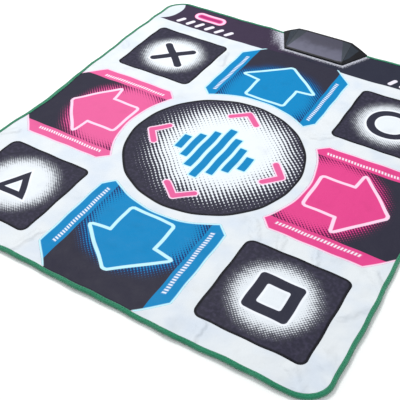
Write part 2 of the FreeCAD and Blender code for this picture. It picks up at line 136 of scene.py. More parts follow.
# middle x and y, heading in degrees, half length, half width and height, all but the heading in mm
CREASES = (
    (345, -300, 62, 70, 15, 1.6),
    (375, -215, 80, 60, 12, 2.2),
    (300, -385, 35, 60, 14, 2.0),
    (160, -300, 95, 80, 11, 1.4),
    (160, -395, 100, 30, 12, 1.6),
    (-155, -330, 82, 70, 12, 1.5),
    (-390, -160, 95, 60, 14, 1.8),
    (395, 160, 85, 55, 14, 2.4),
    (160, 300, 84, 80, 11, 1.6),
    (-155, 290, 98, 70, 12, 1.3),
    (370, 400, 15, 60, 14, 3.0),
    (300, 385, 172, 90, 11, 1.8),
    (-385, 385, 150, 50, 16, 1.6),
    (150, -150, 45, 45, 12, 1.2),
    (-150, 150, 50, 45, 12, 1.0),
    (-150, -150, 130, 45, 12, 1.1),
    (155, 150, 130, 45, 12, 1.2),
)
# middle x and y, half length each way, and how far the cloth has crept there, in mm
DRIFTS = (
    (-416, -40, 70, 110, 8, -1),
    (-300, 130, 130, 60, -1, 4),
    (416, -210, 60, 170, 5, 0),
    (0, -418, 150, 60, 0, -2.5),
    (120, 450, 200, 70, 0, 2),
)
SWAY = 1.1  # how far the cut edge wanders sideways, in mm
WOBBLE = 1.0  # how far the sewn cloth wanders anywhere, in mm
BOX_CALM = 45.0  # the cloth is flat this near the control box, in mm


def smooth(low, high, values):
    share = np.clip((values - low) / (high - low), 0, 1)
    return share * share * (3 - 2 * share)


def box_distance(x, y):
    """How far a point of the cloth is from the control box's footprint, in mm."""
    half = (BOX_HIGH.x - BOX_LOW.x) / 2 / MM
    aside = np.abs(x - BOX_X / MM) - half
    ahead = BOX_LOW.y / MM - GRID.y / MM - y
    return np.hypot(np.maximum(aside, 0), np.maximum(ahead, 0))


def lift(x, y):
    """The height of the cloth's waves above the flat mat, in mm."""
    height = 0.35 + 0.35 * np.sin(x / 61 + 1.2 + y / 190) * np.sin(y / 74 + 0.4 - x / 230)
    for cx, cy, heading, length, width, crest in CREASES:
        c, s = math.cos(math.radians(heading)), math.sin(math.radians(heading))
        along, across = (x - cx) * c + (y - cy) * s, (y - cy) * c - (x - cx) * s
        height = height + crest * np.exp(-(along / length) ** 2 - (across / width) ** 2)
    edge_x = smooth(330, 414, np.abs(x))
    edge_y = smooth(330, 414, np.abs(y))
    ripple = 1.1 + np.sin(y / 47 + 0.8) * 0.6 + np.sin(y / 23 + x / 90) * 0.4
    ripple_y = 1.1 + np.sin(x / 52 + 2.1) * 0.6 + np.sin(x / 26 + y / 90) * 0.4
    height = height + edge_x * ripple + edge_y * ripple_y * (1 - edge_x)
    return np.maximum(height, 0) * smooth(4, BOX_CALM, box_distance(x, y))


def drape(points):
    """Moves points of the flat mat, in metres, to where the soft mat lies."""
    x, y = points[:, 0] / MM, (points[:, 1] - GRID.y) / MM
    calm = smooth(4, BOX_CALM, box_distance(x, y))
    aside = SWAY * (np.sin(y / 71 + 0.7) + 0.5 * np.sin(y / 33 + 2)) * smooth(300, 415, np.abs(x))
    ahead = SWAY * (np.sin(x / 66 + 1.9) + 0.5 * np.sin(x / 31)) * smooth(300, 415, np.abs(y))
    for cx, cy, reach_x, reach_y, drift_x, drift_y in DRIFTS:
        share = np.exp(-((x - cx) / reach_x) ** 2 - ((y - cy) / reach_y) ** 2)
        aside = aside + drift_x * share
        ahead = ahead + drift_y * share
    aside = aside + WOBBLE * np.sin(x / 17 + y / 23) * np.sin(y / 19 - x / 41 + 1)
    ahead = ahead + WOBBLE * np.sin(y / 18 - x / 27 + 2) * np.sin(x / 15 + y / 43)
    moved = points.copy()
    moved[:, 0] += aside * calm * MM
    moved[:, 1] += ahead * calm * MM
    moved[:, 2] += lift(x, y) * MM
    return moved


# ------------------------------------------------------------------ mesh pieces

GRID_STEP = 0.008  # the side of a sheet's cells, in metres


def add_object(name, mesh, *materials):
    piece = bpy.data.objects.new(name, mesh)
    bpy.context.scene.collection.objects.link(piece)
    for material in materials:
        mesh.materials.append(material)
    return piece


def coordinates(mesh):
    flat = np.empty(len(mesh.vertices) * 3)
    mesh.vertices.foreach_get("co", flat)
    return flat.reshape(-1, 3)


def lay(mesh):
    """Keeps each point's place on the flat cloth as the attribute cloth, then drapes the mesh."""
    points = coordinates(mesh)
    cloth = np.zeros_like(points)
    cloth[:, 0], cloth[:, 1] = points[:, 0] / MM, (points[:, 1] - GRID.y) / MM
    mesh.attributes.new("cloth", "FLOAT_VECTOR", "POINT").data.foreach_set("vector", cloth.ravel())
    mesh.vertices.foreach_set("co", drape(points).ravel())
    mesh.update()


def cut_up(bm, low, high, step):
    """Cuts a mesh along the lines of a square grid, so that it can bend."""
    for axis in (0, 1):
        for line in range(math.floor(low[axis] / step) + 1, math.ceil(high[axis] / step)):
            place, normal = [0, 0, 0], [0, 0, 0]
            place[axis], normal[axis] = line * step, 1
            bmesh.ops.bisect_plane(bm, geom=bm.verts[:] + bm.edges[:] + bm.faces[:], dist=1e-7,
                                   plane_co=place, plane_no=normal)


def soft_copy(node, *materials):
    """A piece that stands for a flat CAD sheet, laid as the soft mat lies."""
    bm = bmesh.new()
    bm.from_mesh(frame["nodes"][node].data)
    bmesh.ops.remove_doubles(bm, verts=bm.verts, dist=1e-6)
    bmesh.ops.dissolve_limit(bm, angle_limit=0.01, verts=bm.verts, edges=bm.edges)
    cut_up(bm, *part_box(node), GRID_STEP)
    mesh = bpy.data.meshes.new(node + "_soft")
    bm.to_mesh(mesh)
    bm.free()
    lay(mesh)
    for polygon in mesh.polygons:
        polygon.use_smooth = abs(polygon.normal.z) > 0.5
    piece = add_object(mesh.name, mesh, *materials)
    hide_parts(node)
    return piece


def split_cells(mesh):
    """Halves each cell along its shorter diagonal, so that close layers bend alike."""
    bm = bmesh.new()
    bm.from_mesh(mesh)
    bmesh.ops.triangulate(bm, faces=bm.faces[:], quad_method="SHORT_EDGE")
    bm.to_mesh(mesh)
    bm.free()
    mesh.update()


def slot_of(node):
    return next(s["material_slot"] for s in frame["record"]["subparts"] if s["node"] == node)


# ------------------------------------------------------------------ drawing with nodes

class Num:
    """A number, place or colour that differs over a surface: an output of a node in the
    material that is being drawn."""
    tree = None

    def __init__(self, socket):
        self.socket = socket

    def __add__(self, other):
        return maths("ADD", self, other)

    def __sub__(self, other):
        return maths("SUBTRACT", self, other)

    def __rsub__(self, other):
        return maths("SUBTRACT", other, self)

    def __mul__(self, other):
        return maths("MULTIPLY", self, other)

    __radd__, __rmul__ = __add__, __mul__


def wire(value, socket):
    if isinstance(value, Num):
        Num.tree.links.new(value.socket, socket)
    else:
        socket.default_value = value


def maths(operation, *values, clamp=False):
    node = Num.tree.nodes.new("ShaderNodeMath")
    node.operation, node.use_clamp = operation, clamp
    for value, socket in zip(values, node.inputs):
        wire(value, socket)
    return Num(node.outputs[0])


def vectors(operation, *values, scale=None):
    node = Num.tree.nodes.new("ShaderNodeVectorMath")
    node.operation = operation
    for value, socket in zip(values, node.inputs):
        wire(value if isinstance(value, Num) else (*value, 0)[:3], socket)
    if scale is not None:
        wire(scale, node.inputs["Scale"])
    return Num(node.outputs["Value" if operation in ("LENGTH", "DISTANCE", "DOT_PRODUCT") else 0])


def least(first, *others):
    for other in others:
        first = maths("MINIMUM", first, other)
    return first


def most(first, *others):
    for other in others:
        first = maths("MAXIMUM", first, other)
    return first


def ramp(value, low, high):
    """0 below low, 1 above high and smooth between."""
    node = Num.tree.nodes.new("ShaderNodeMapRange")
    node.interpolation_type = "SMOOTHSTEP"
    for socket, number in zip(node.inputs[1:5], (low, high, 0.0, 1.0)):
        wire(number, socket)
    wire(value, node.inputs[0])
    return Num(node.outputs[0])


def noise(place, size, detail=2.0):
    """Smooth noise from 0 to 1 with blobs of about that size, in the place's own units."""
    node = Num.tree.nodes.new("ShaderNodeTexNoise")
    node.inputs["Scale"].default_value = 1 / size
    node.inputs["Detail"].default_value = detail
    wire(place, node.inputs["Vector"])
    return Num(node.outputs[0])


def split(place):
    node = Num.tree.nodes.new("ShaderNodeSeparateXYZ")
    wire(place, node.inputs[0])
    return Num(node.outputs[0]), Num(node.outputs[1])


def join(x, y):
    node = Num.tree.nodes.new("ShaderNodeCombineXYZ")
    wire(x, node.inputs[0])
    wire(y, node.inputs[1])
    return Num(node.outputs[0])


def mix(under, over, share):
    """One colour laid over another, by share."""
    node = Num.tree.nodes.new("ShaderNodeMix")
    node.data_type = "RGBA"
    wire(share, node.inputs[0])
    wire(under if isinstance(under, Num) else (*under, 1), node.inputs[6])
    wire(over if isinstance(over, Num) else (*over, 1), node.inputs[7])
    return Num(node.outputs[2])


def cloth():
    node = Num.tree.nodes.new("ShaderNodeAttribute")
    node.attribute_name = "cloth"
    return Num(node.outputs["Vector"])


def solid_place():
    """The place on the object, in mm."""
    node = Num.tree.nodes.new("ShaderNodeTexCoord")
    return vectors("SCALE", Num(node.outputs["Object"]), scale=1000.0)


def rgb(red, green, blue):
    """A colour given as 0 to 255 on a screen, in the linear form that shaders take."""
    return tuple((c / 255 / 12.92) if c <= 10 else ((c / 255 + 0.055) / 1.055) ** 2.4
                 for c in (red, green, blue))


# shapes: each gives the distance to its edge in mm, and less than nothing inside

def circle(p, centre, radius):
    return vectors("DISTANCE", p, centre) - radius


def capsule(p, start, end, radius):
    along = (end[0] - start[0], end[1] - start[1])
    out = vectors("SUBTRACT", p, start)
    share = maths("MULTIPLY", vectors("DOT_PRODUCT", out, along), 1 / (along[0] ** 2 + along[1] ** 2),
                  clamp=True)
    return vectors("DISTANCE", out, vectors("SCALE", along, scale=share)) - radius


def beyond(p, start, end):
    """How far a place lies to the right of the line from start to end."""
    along = Vector((end[0] - start[0], end[1] - start[1])).normalized()
    normal = (along.y, -along.x)
    return vectors("DOT_PRODUCT", p, normal) - (normal[0] * start[0] + normal[1] * start[1])


def hull(p, *corners):
    """A shape with straight sides and no hollows, with its corners in anticlockwise order."""
    return most(*(beyond(p, a, b) for a, b in zip(corners, corners[1:] + corners[:1])))


def block(p, centre, half, rounding):
    inner = (half[0] - rounding, half[1] - rounding, 1)
    q = vectors("SUBTRACT", vectors("ABSOLUTE", vectors("SUBTRACT", p, centre)), inner)
    x, y = split(q)
    outside = vectors("LENGTH", vectors("MAXIMUM", q, (0, 0)))
    return outside + least(most(x, y), 0.0) - rounding


def ink(distance, soft=0.8):
    """1 inside a shape and 0 outside, with a printed edge that is soft mm wide."""
    return maths("MULTIPLY_ADD", distance, -1 / soft, 0.5, clamp=True)


def line(distance, width, soft=0.8):
    return ink(maths("ABSOLUTE", distance) - width / 2, soft)


SCREEN_PITCH = 5.2


def screen(p, tone, pitch=SCREEN_PITCH, streak=0.33):
    """A printer's screen on the diagonal: the share of ink that makes tone, as rows of dots that
    run together into lines."""
    turn = 2 * math.pi / pitch / math.sqrt(2)
    rows = maths("COSINE", vectors("DOT_PRODUCT", p, (turn, turn)))
    dots = maths("COSINE", vectors("DOT_PRODUCT", p, (turn, -turn)))
    spot = 0.65 + rows * streak + dots * (0.5 - streak)
    return maths("MULTIPLY_ADD", tone * 1.3 - spot, 3.5, 0.5, clamp=True)


# ------------------------------------------------------------------ materials

WHITE = rgb(218, 223, 227)
BLUE, DEEP_BLUE, PALE_BLUE = rgb(0, 126, 184), rgb(8, 44, 104), rgb(186, 230, 242)
PINK, DEEP_PINK, PALE_PINK = rgb(216, 66, 134), rgb(96, 14, 72), rgb(240, 204, 226)
# a softer pink: the chevrons' print colour, and on the left arrow a painted sheen that makes it paler
# than the right one
SOFT_PINK_AND_SHEEN = rgb(218, 92, 148)
CHARCOAL, BLACK = rgb(44, 43, 58), rgb(20, 20, 28)
MAGENTA = rgb(168, 40, 108)
GREEN = rgb(30, 146, 106)
BOX_BLACK = rgb(16, 16, 22)


def new_material(name, **values):
    """An empty material with its shader's constants set, ready to be drawn in."""
    material = bpy.data.materials.new(name)
    material.use_nodes = True
    Num.tree = material.node_tree
    shader = Num.tree.nodes["Principled BSDF"]
    for word, number in values.items():
        shader.inputs[word.replace("_", " ")].default_value = number
    return material, shader


def bump(shader, height, distance, strength=1.0):
    node = Num.tree.nodes.new("ShaderNodeBump")
    node.inputs["Strength"].default_value = strength
    node.inputs["Distance"].default_value = distance
    wire(height, node.inputs["Height"])
    Num.tree.links.new(node.outputs[0], shader.inputs["Normal"])


def vinyl(name, draw, sharp=False):
    """Printed PVC on cloth: its weave shows faintly through, with small soft creases."""
    material, shader = new_material(name, Specular_IOR_Level=0.09)
    p = cloth()
    colour = draw(p)
    colour = vectors("SCALE", colour, scale=1 - ramp(noise(p, 38, 3), 0.50, 0.95) * 0.14)
    wire(colour, shader.inputs["Base Color"])
    wire(0.40 + noise(p, 24, 4) * 0.24, shader.inputs["Roughness"])
    x, y = split(p)
    weave = maths("SINE", x * 4.4) * maths("SINE", y * 4.4)
    creases = noise(p, 34, 3) * 5.0 + noise(p, 9, 2) * 0.7
    if sharp:
        creases = creases + draw_creases(p) * 5.5
    bump(shader, creases + weave * 0.035 + noise(p, 1.3, 1) * 0.09, 0.0006, 0.85)
    return material


# the ends of short creases in the cover, and how broad each is, in mm
SHARP_CREASES = (
    ((376, -248), (414, -196), 9), ((384, -330), (412, -372), 10), ((386, -140), (412, -172), 7),
    ((199, -374), (203, -410), 6), ((160, -132), (184, -168), 7), ((218, -138), (232, -168), 6),
    ((286, -140), (296, -170), 6), ((352, -376), (376, -404), 8), ((150, 150), (184, 176), 7),
    ((386, 150), (414, 196), 8), ((-384, -150), (-412, -176), 7), ((-150, -352), (-166, -408), 7),
    ((-386, 240), (-412, 262), 8), ((-150, 290), (-168, 340), 7), ((388, 300), (414, 340), 8),
)


def draw_creases(p):
    """The height of the cover's sharp creases, from 0 to 1."""
    wavy = vectors("ADD", p, vectors("SCALE", join(noise(p, 26) - 0.5, noise(p, 19) - 0.5), scale=14.0))
    height = 0.0
    for start, end, width in SHARP_CREASES:
        height = most(1 - ramp(capsule(wavy, start, end, 0), 0, width * 1.9), height)
    return height


ZONE_REACH = 504  # where the slanted corners of an arrow zone would meet the grid's axes, in mm


def draw_field(p):
    """The white of the cover, with the arrow zones' dark ground run on to the binding."""
    white = mix(WHITE, rgb(206, 215, 226), ramp(noise(p, 60), 0.35, 0.75))
    x, y = split(p)
    aside, ahead = maths("ABSOLUTE", x), maths("ABSOLUTE", y)
    margin = most(least(400 - aside, y + 400), aside + ahead - ZONE_REACH, y - 200)
    colour = mix(white, rgb(224, 214, 228), ink(margin, 1.6))
    return mix(colour, CHARCOAL, ink(margin + 4, 1.6))


def box_footprint(p):
    """The control box's outline on the cover."""
    left, right = BOX_LOW.x / MM, BOX_HIGH.x / MM
    front, back = (BOX_LOW.y - GRID.y) / MM, (BOX_HIGH.y - GRID.y) / MM
    taper = 35
    return hull(p, (left + taper, front), (right - taper, front), (right, back), (left, back))


BAND_FRONT, BAND_END, BAND_MIDDLE, BAND_HOLLOW = 403, 441, 460, 71


BAR_LEAN, BAR_RADIUS = 4, 5.2


def draw_bars(p, start, pitch, count, level, half_height):
    """A row of slanted bars of equal pitch: a pattern with no meaning in place of lettering."""
    places = [start + index * pitch for index in range(count)]
    return least(*(capsule(p, (x - BAR_LEAN, level - half_height), (x + BAR_LEAN, level + half_height),
                           BAR_RADIUS) for x in places))


def draw_band(p):
    """The dark band at the back: hollow ends, a glow round the control box and two rows of bars."""
    x, y = split(p)
    band = most(BAND_FRONT - y,
                BAND_HOLLOW - vectors("DISTANCE", join(maths("ABSOLUTE", x), y), (BAND_END, BAND_MIDDLE)))
    dark = mix(rgb(56, 45, 67), rgb(40, 42, 58), ramp(x + (noise(p, 30, 3) - 0.5) * 300, -100, 60))
    glow = box_footprint(p) * (1 + ramp(x, -100, -55) * 1.7)
    grains = 1 - ramp(glow + (noise(p, 3.4, 2) - 0.5) * 60, 0, 34)
    dark = mix(dark, rgb(206, 208, 220), grains * 0.9)
    bars = least(draw_bars(p, -345, 28, 6, 423, 8), draw_bars(p, 218, 28, 5, 423, 8))
    dark = mix(dark, rgb(228, 224, 236), ink(bars, 1.5))
    return mix(draw_field(p), dark, ink(band, 1.2))


def draw_dark(p):
    """The dark ground of the disc and the symbol squares, a little uneven."""
    return mix(CHARCOAL, rgb(58, 55, 74), ramp(noise(p, 7, 4), 0.42, 0.7))


DISC, DISC_RING = 183, 5  # the radius of the disc and the width of its black border, in mm
METER = (22, 40, 62, 84, 62, 40, 22)  # half the height of each bar, in mm
METER_PITCH, METER_HALF, METER_ROUNDING = 24, 8, 2
CHEVRON_TIP, CHEVRON_END, CHEVRON_RADIUS = (0, 150), (30, 124), 6


def draw_meter(p):
    """A level meter of upright bars, even about its tallest."""
    first = -(len(METER) - 1) / 2
    return least(*(block(p, ((first + index) * METER_PITCH, 0), (METER_HALF, half), METER_ROUNDING)
                   for index, half in enumerate(METER)))


def draw_chevrons(p):
    """Four chevrons round the meter, one towards each arrow."""
    x, y = split(p)
    x, y = maths("ABSOLUTE", x), maths("ABSOLUTE", y)
    return capsule(join(least(x, y), most(x, y)), CHEVRON_TIP, CHEVRON_END, CHEVRON_RADIUS)


def draw_disc(p):
    """The round middle: a dark rim that fades to white through a screen, with a plain emblem of
    a level meter between four chevrons."""
    around = vectors("LENGTH", p)
    dark = draw_dark(p)
    tone = 1 - ramp(circle(p, (14, 16), 0) + (noise(p, 70) - 0.5) * 40, 62, 196)
    colour = mix(dark, rgb(224, 230, 236), screen(p, tone, 7.6, 0.34))
    colour = mix(colour, BLACK, ink(DISC - DISC_RING - around, 3))
    chevrons = draw_chevrons(p)
    colour = mix(colour, PALE_PINK, ink(chevrons - 3))
    colour = mix(colour, SOFT_PINK_AND_SHEEN, ink(chevrons))
    meter = draw_meter(p)
    colour = mix(colour, PALE_BLUE, ink(meter - 3))
    colour = mix(colour, BLUE, ink(meter))
    return mix(draw_field(p), colour, ink(around - DISC))


# half of an arrow's outline, from its tip to its tail
ARROW_PATH = ((0, 361.5), (5, 360.5), (84, 292.5), (86.5, 288.5), (83, 286), (47, 281), (47, 221),
              (45, 217), (41, 215), (0, 215))


def draw_arrow_panel(turn, fill, deep, pale):
    """An arrow that points away from the middle of the grid, on a ground that darkens towards
    the mat's edge through a screen, between two plain strips."""
    half, shoulder, hip, hollow, strip = 137, 190, 367, 203, 103

    def draw(p):
        node = Num.tree.nodes.new("ShaderNodeVectorRotate")
        node.rotation_type = "Z_AXIS"
        node.inputs["Angle"].default_value = -math.radians(turn)
        wire(p, node.inputs["Vector"])
        x, y = split(Num(node.outputs[0]))
        x = maths("ABSOLUTE", x)
        q = join(x, y)
        edge = most(x - half, beyond(q, (0, shoulder - half), (half, shoulder)),
                    beyond(q, (half, hip), (0, hip + half)), hollow - vectors("LENGTH", q))
        depth = ramp(circle(q, (0, 236), 0) + (noise(p, 60) - 0.5) * 16, 66, 142)
        dark = mix(deep, CHARCOAL, ramp(depth, 0.45, 1.0))
        colour = mix(fill, dark, screen(p, depth))
        colour = mix(colour, fill, ink(strip - x))
        colour = mix(colour, rgb(236, 240, 250), ink(draw_dashes(q), 2.2))
        head = most(beyond(q, (86, 289), (0, 363)), beyond(q, (0, 275), (86, 289)))
        arrow = least(head, most(x - 47, 215 - y, y - 300))
        colour = mix(colour, fill, ink(arrow))
        outline = least(*(capsule(q, a, b, 3.3) for a, b in zip(ARROW_PATH, ARROW_PATH[1:])))
        colour = mix(colour, pale, ink(outline, 1.2))
        return mix(colour, pale, ink(-3.6 - edge, 1.8))

    return draw


DASH_PITCH, DASH_HALF, DASH_HALF_HEIGHT, DASH_SLANT = 6.2, 1.5, 3.4, 0.25
DASH_ROW = 114  # how far the row is from the arrow's axis, in mm
DASH_FIRST, DASH_LAST = 36, 62  # where the row starts and ends, in dashes


def draw_dashes(q):
    """A plain row of short slanted dashes along the strip of an arrow panel."""
    x, y = split(q)
    leaning = y + x * DASH_SLANT
    cell = maths("WRAP", leaning, 0.0, DASH_PITCH)
    dash = most(maths("ABSOLUTE", cell - DASH_PITCH / 2) - DASH_HALF,
                maths("ABSOLUTE", x - DASH_ROW) - DASH_HALF_HEIGHT)
    return most(dash, DASH_FIRST * DASH_PITCH - leaning, leaning - DASH_LAST * DASH_PITCH)


def draw_symbol_panel(centre, symbol):
    """A dark square with a round white glow behind a plain geometric symbol."""

    def draw(p):
        q = vectors("SUBTRACT", p, centre)
        around = vectors("LENGTH", q)
        dark = draw_dark(p)
        tone = 1 - ramp(around + (noise(p, 9, 4) - 0.5) * 18, 42, 92)
        share = screen(p, tone, 4.2, 0.22) * 0.72 + tone * 0.28
        colour = mix(dark, rgb(222, 228, 234), share)
        edge = block(q, (0, 0), (97, 97), 15)
        colour = mix(colour, BLACK, ink(-4.5 - edge, 2.5))
        shape = symbol(q)
        colour = mix(colour, rgb(232, 236, 244), ink(shape - 4, 2.5))
        return mix(colour, rgb(44, 45, 60), ink(shape))

    return draw


def cross(q):
    return least(capsule(q, (-33, -33), (33, 33), 9), capsule(q, (-33, 33), (33, -33), 9))


def ring(q):
    return maths("ABSOLUTE", circle(q, (0, 0), 41.5)) - 8.5


def triangle(q):
    body = hull(q, (-38, -34), (38, -34), (0, 38))
    return maths("ABSOLUTE", body + 6.5) - 6.5


def square(q):
    return most(block(q, (0, 0), (41, 41), 8), -1 * block(q, (0, 0), (21, 21), 4))


def draw_pill(centre):
    """A rounded bar in magenta inside a pale pink ring."""

    def draw(p):
        shape = block(vectors("SUBTRACT", p, centre), (0, 0), (46, 19), 18.5)
        colour = mix(MAGENTA, rgb(222, 84, 150), ramp(shape, -17, -9))
        colour = mix(colour, rgb(250, 196, 222), line(shape + 5.5, 7.5, 2))
        return mix(colour, rgb(120, 40, 90), ink(-1.0 - shape, 1.2))

    return draw


def make_binding_material():
    """Woven tape: ribs across the tape, with a twill that catches the light."""
    material, shader = new_material("binding_tape", Roughness=0.82, Sheen_Weight=0.35,
                                    Sheen_Roughness=0.5, Specular_IOR_Level=0.25)
    node = Num.tree.nodes.new("ShaderNodeAttribute")
    node.attribute_name = "tape"
    tape = Num(node.outputs["Vector"])
    along, across = split(tape)
    ribs = maths("SINE", along * 5.2)
    threads = maths("SINE", across * 6.0 + along * 2.6)
    weave = ribs * 0.6 + threads * 0.4
    colour = mix(GREEN, rgb(20, 92, 68), ramp(weave + noise(tape, 12, 3), 0.0, 1.5))
    colour = mix(colour, rgb(70, 158, 122), ramp(noise(tape, 40), 0.5, 0.8) * 0.5)
    wire(colour, shader.inputs["Base Color"])
    bump(shader, weave, 0.00025)
    return material


def make_thread_material():
    material, shader = new_material("thread", Roughness=0.85, Specular_IOR_Level=0.1)
    p = solid_place()
    wire(mix(rgb(20, 96, 66), rgb(36, 118, 84), noise(p, 6)), shader.inputs["Base Color"])
    bump(shader, noise(p, 0.35), 0.0002)
    return material


def make_base_material():
    """The underside: dark cloth-backed vinyl with rows of raised anti-slip dots."""
    material, shader = new_material("base_vinyl", Roughness=0.7, Specular_IOR_Level=0.3)
    p = cloth()
    cell = vectors("WRAP", p, (12, 12, 12), (0, 0, 0))
    other = vectors("WRAP", vectors("ADD", p, (6, 6)), (12, 12, 12), (0, 0, 0))
    dots = least(vectors("DISTANCE", vectors("MULTIPLY", cell, (1, 1, 0)), (6, 6)),
                 vectors("DISTANCE", vectors("MULTIPLY", other, (1, 1, 0)), (6, 6))) - 1.9
    colour = mix(rgb(42, 44, 50), rgb(58, 60, 68), noise(p, 20, 4))
    colour = mix(colour, rgb(24, 25, 30), ink(dots, 0.5))
    wire(colour, shader.inputs["Base Color"])
    bump(shader, 1 - ramp(dots, -1.2, 0.3) + noise(p, 1.6) * 0.12, 0.0008)
    return material


def make_box_material(name, colour, light, rim=None):
    """Moulded plastic with a fine spark-eroded grain and a painted highlight: lighter towards the
    front, from colour to light. A rim is a black border that wide, in mm, as seen from above."""
    material, shader = new_material(name, Specular_IOR_Level=0.2)
    p = solid_place()
    x, y = split(p)
    # painted highlight: the share of the lit colour, growing from the back of the box to the front
    front = ramp(y, BOX_HIGH.y / MM - 12, BOX_LOW.y / MM + 6)
    tint = mix(colour, light, ramp(front + (noise(p, 16, 4) - 0.5) * 0.9, 0.1, 0.9))
    if rim:
        inward = -1 * box_footprint(join(x, y - GRID.y / MM)) + (noise(p, 8) - 0.5) * 1.2
        tint = mix(tint, BOX_BLACK, ink(inward - rim - ramp(x, 70, 100) * 3, 1.5))
    wire(tint, shader.inputs["Base Color"])
    wire(0.36 + noise(p, 9, 3) * 0.16, shader.inputs["Roughness"])
    bump(shader, noise(p, 0.55, 2) + noise(p, 6) * 0.4, 0.00022, 0.8)
    return material


def make_plain(name, colour, other, blob, grain, roughness, metallic=0.0, height=0.0002):
    """A small part's material: two tones in blobs, and a grain in mm."""
    material, shader = new_material(name, Metallic=metallic)
    p = solid_place()
    wire(mix(colour, other, noise(p, blob, 3)), shader.inputs["Base Color"])
    wire(roughness + (noise(p, blob * 0.6, 2) - 0.5) * 0.2, shader.inputs["Roughness"])
    bump(shader, noise(p, grain), height)
    return material


def make_board_material():
    """A circuit board's green mask with the copper tracks below it."""
    material, shader = new_material("board_mask", Roughness=0.35)
    p = solid_place()
    x, y = split(p)
    rows = maths("ABSOLUTE", maths("WRAP", y, 0.0, 2.4) - 1.2)
    columns = maths("ABSOLUTE", maths("WRAP", x, 0.0, 3.1) - 1.55)
    tracks = least(rows, columns) - 0.35
    shown = ink(tracks, 0.2) * ramp(noise(p, 9), 0.42, 0.5)
    wire(mix(rgb(16, 84, 46), rgb(40, 132, 74), shown), shader.inputs["Base Color"])
    bump(shader, shown, 0.00008)
    return material


def make_foam_material(name, colour, other):
    material, shader = new_material(name, Roughness=0.9, Sheen_Weight=0.2)
    p = cloth()
    cells = noise(p, 1.1, 2)
    wire(mix(colour, other, ramp(cells, 0.35, 0.7)), shader.inputs["Base Color"])
    bump(shader, cells, 0.0004)
    return material


def make_film_material():
    """Clear-ish polyester film with printed silver tracks."""
    material, shader = new_material("polyester_film", Roughness=0.22)
    p = cloth()
    x, y = split(p)
    tracks = maths("ABSOLUTE", maths("WRAP", x + y * 0.02, 0.0, 34.0) - 17.0) - 1.2
    shown = ink(tracks, 0.4)
    wire(mix(rgb(206, 214, 210), rgb(150, 154, 160), shown), shader.inputs["Base Color"])
    bump(shader, shown + noise(p, 50), 0.0001)
    return material


# ------------------------------------------------------------------ soft pieces

def make_top_cover():
    """The printed cover, in one piece with three prints: field, disc and band."""
    prints = [vinyl("print_field", draw_field, sharp=True), vinyl("print_disc", draw_disc),
              vinyl("print_band", draw_band)]
    piece = soft_copy("top_cover", *prints)
    white_ring, white_strip = 194, BAND_FRONT - 7
    for polygon in piece.data.polygons:
        x, y = polygon.center.x / MM, (polygon.center.y - GRID.y) / MM
        if math.hypot(x, y) < white_ring:
            polygon.material_index = 1
        elif y > white_strip:
            polygon.material_index = 2
    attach(piece, "mat")


def make_panels():
    looks = {name: ((BLUE, DEEP_BLUE, PALE_BLUE) if turn in (0, 180) else (PINK, DEEP_PINK, PALE_PINK))
             for name, turn in ARROWS.items()}
    # painted sheen: the left arrow is filled with the softer pink, paler as if it caught more light
    looks["left_arrow"] = (SOFT_PINK_AND_SHEEN, DEEP_PINK, PALE_PINK)
    prints = {name: draw_arrow_panel(turn, *looks[name]) for name, turn in ARROWS.items()}
    for name, symbol in zip(SYMBOLS, (cross, ring, triangle, square)):
        prints[name] = draw_symbol_panel(panel_centre(name), symbol)
    for name in PILLS:
        prints[name] = draw_pill(panel_centre(name))
    for name, draw in prints.items():
        node = name + "_panel"
        piece = soft_copy(node, vinyl("print_" + name, draw))
        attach(piece, name + "_button")
        slot_of(node)
        name + "_contact"


def panel_centre(name):
    at = (middle(name + "_panel") - GRID) / MM
    return at.x, at.y


def make_inner_layers():
    """The sheets inside the mat, which lie as it lies."""
    film = make_film_material()
    foam = make_foam_material("foam", rgb(196, 198, 202), rgb(228, 230, 232))
    conductive = make_foam_material("conductive_foam", rgb(28, 28, 31), rgb(52, 52, 56))
    carbon = make_foam_material("carbon_print", rgb(20, 20, 22), rgb(34, 34, 38))
    for node, material in (("lower_membrane", film), ("upper_membrane", film)):
        piece = soft_copy(node, material)
        split_cells(piece.data)
        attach(piece, "mat")
        slot_of(node)
        "spacer_foam" if node[0] == "u" else "base_foam"
    for node, material in (("base_foam", foam), ("spacer_foam", foam), ("lower_contact_pads", carbon)):
        piece = soft_copy(node, material)
        split_cells(piece.data)
        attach(piece, "mat")
        slot_of(node)
        material == foam
    for name in (*ARROWS, *SYMBOLS, *PILLS):
        piece = soft_copy(name + "_contact", conductive)
        split_cells(piece.data)
        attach(piece, name + "_button")


def make_base_cover():
    piece = soft_copy("base_cover", make_base_material())
    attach(piece, "mat")


# the tape's section: how far in from the mat's edge, and how high, in mm
TAPE_SECTION = ((6.4, 6.0), (6.1, 6.5), (4.4, 6.8), (2.2, 6.75), (0.9, 6.4), (0.1, 5.2), (0.0, 3.0),
                (0.3, 1.3), (1.2, 0.2), (3.0, 0.0), (6.95, 0.0), (6.9, 0.5), (1.6, 0.75), (0.9, 3.0),
                (1.5, 5.6), (6.3, 5.9))
WIDE_PLACE, WIDE_REACH = (-416, 5), 85  # where the tape is pulled wide, and how far along, in mm
WIDE_RISE = 0.6  # how far its inner lip then stands up, over the panel beside it, in mm
TAPE_WIDTH, WIDE_MORE = 1.15, 0.6  # the upper side's width as a share of the section's, and what is added
TAPE_STEP = 5.0
STITCH_PITCH, STITCH_LENGTH, STITCH_INSET = 5.6, 3.8, 4.3


MAT_CORNER = 50.0  # the radius of the mat's corners, in mm


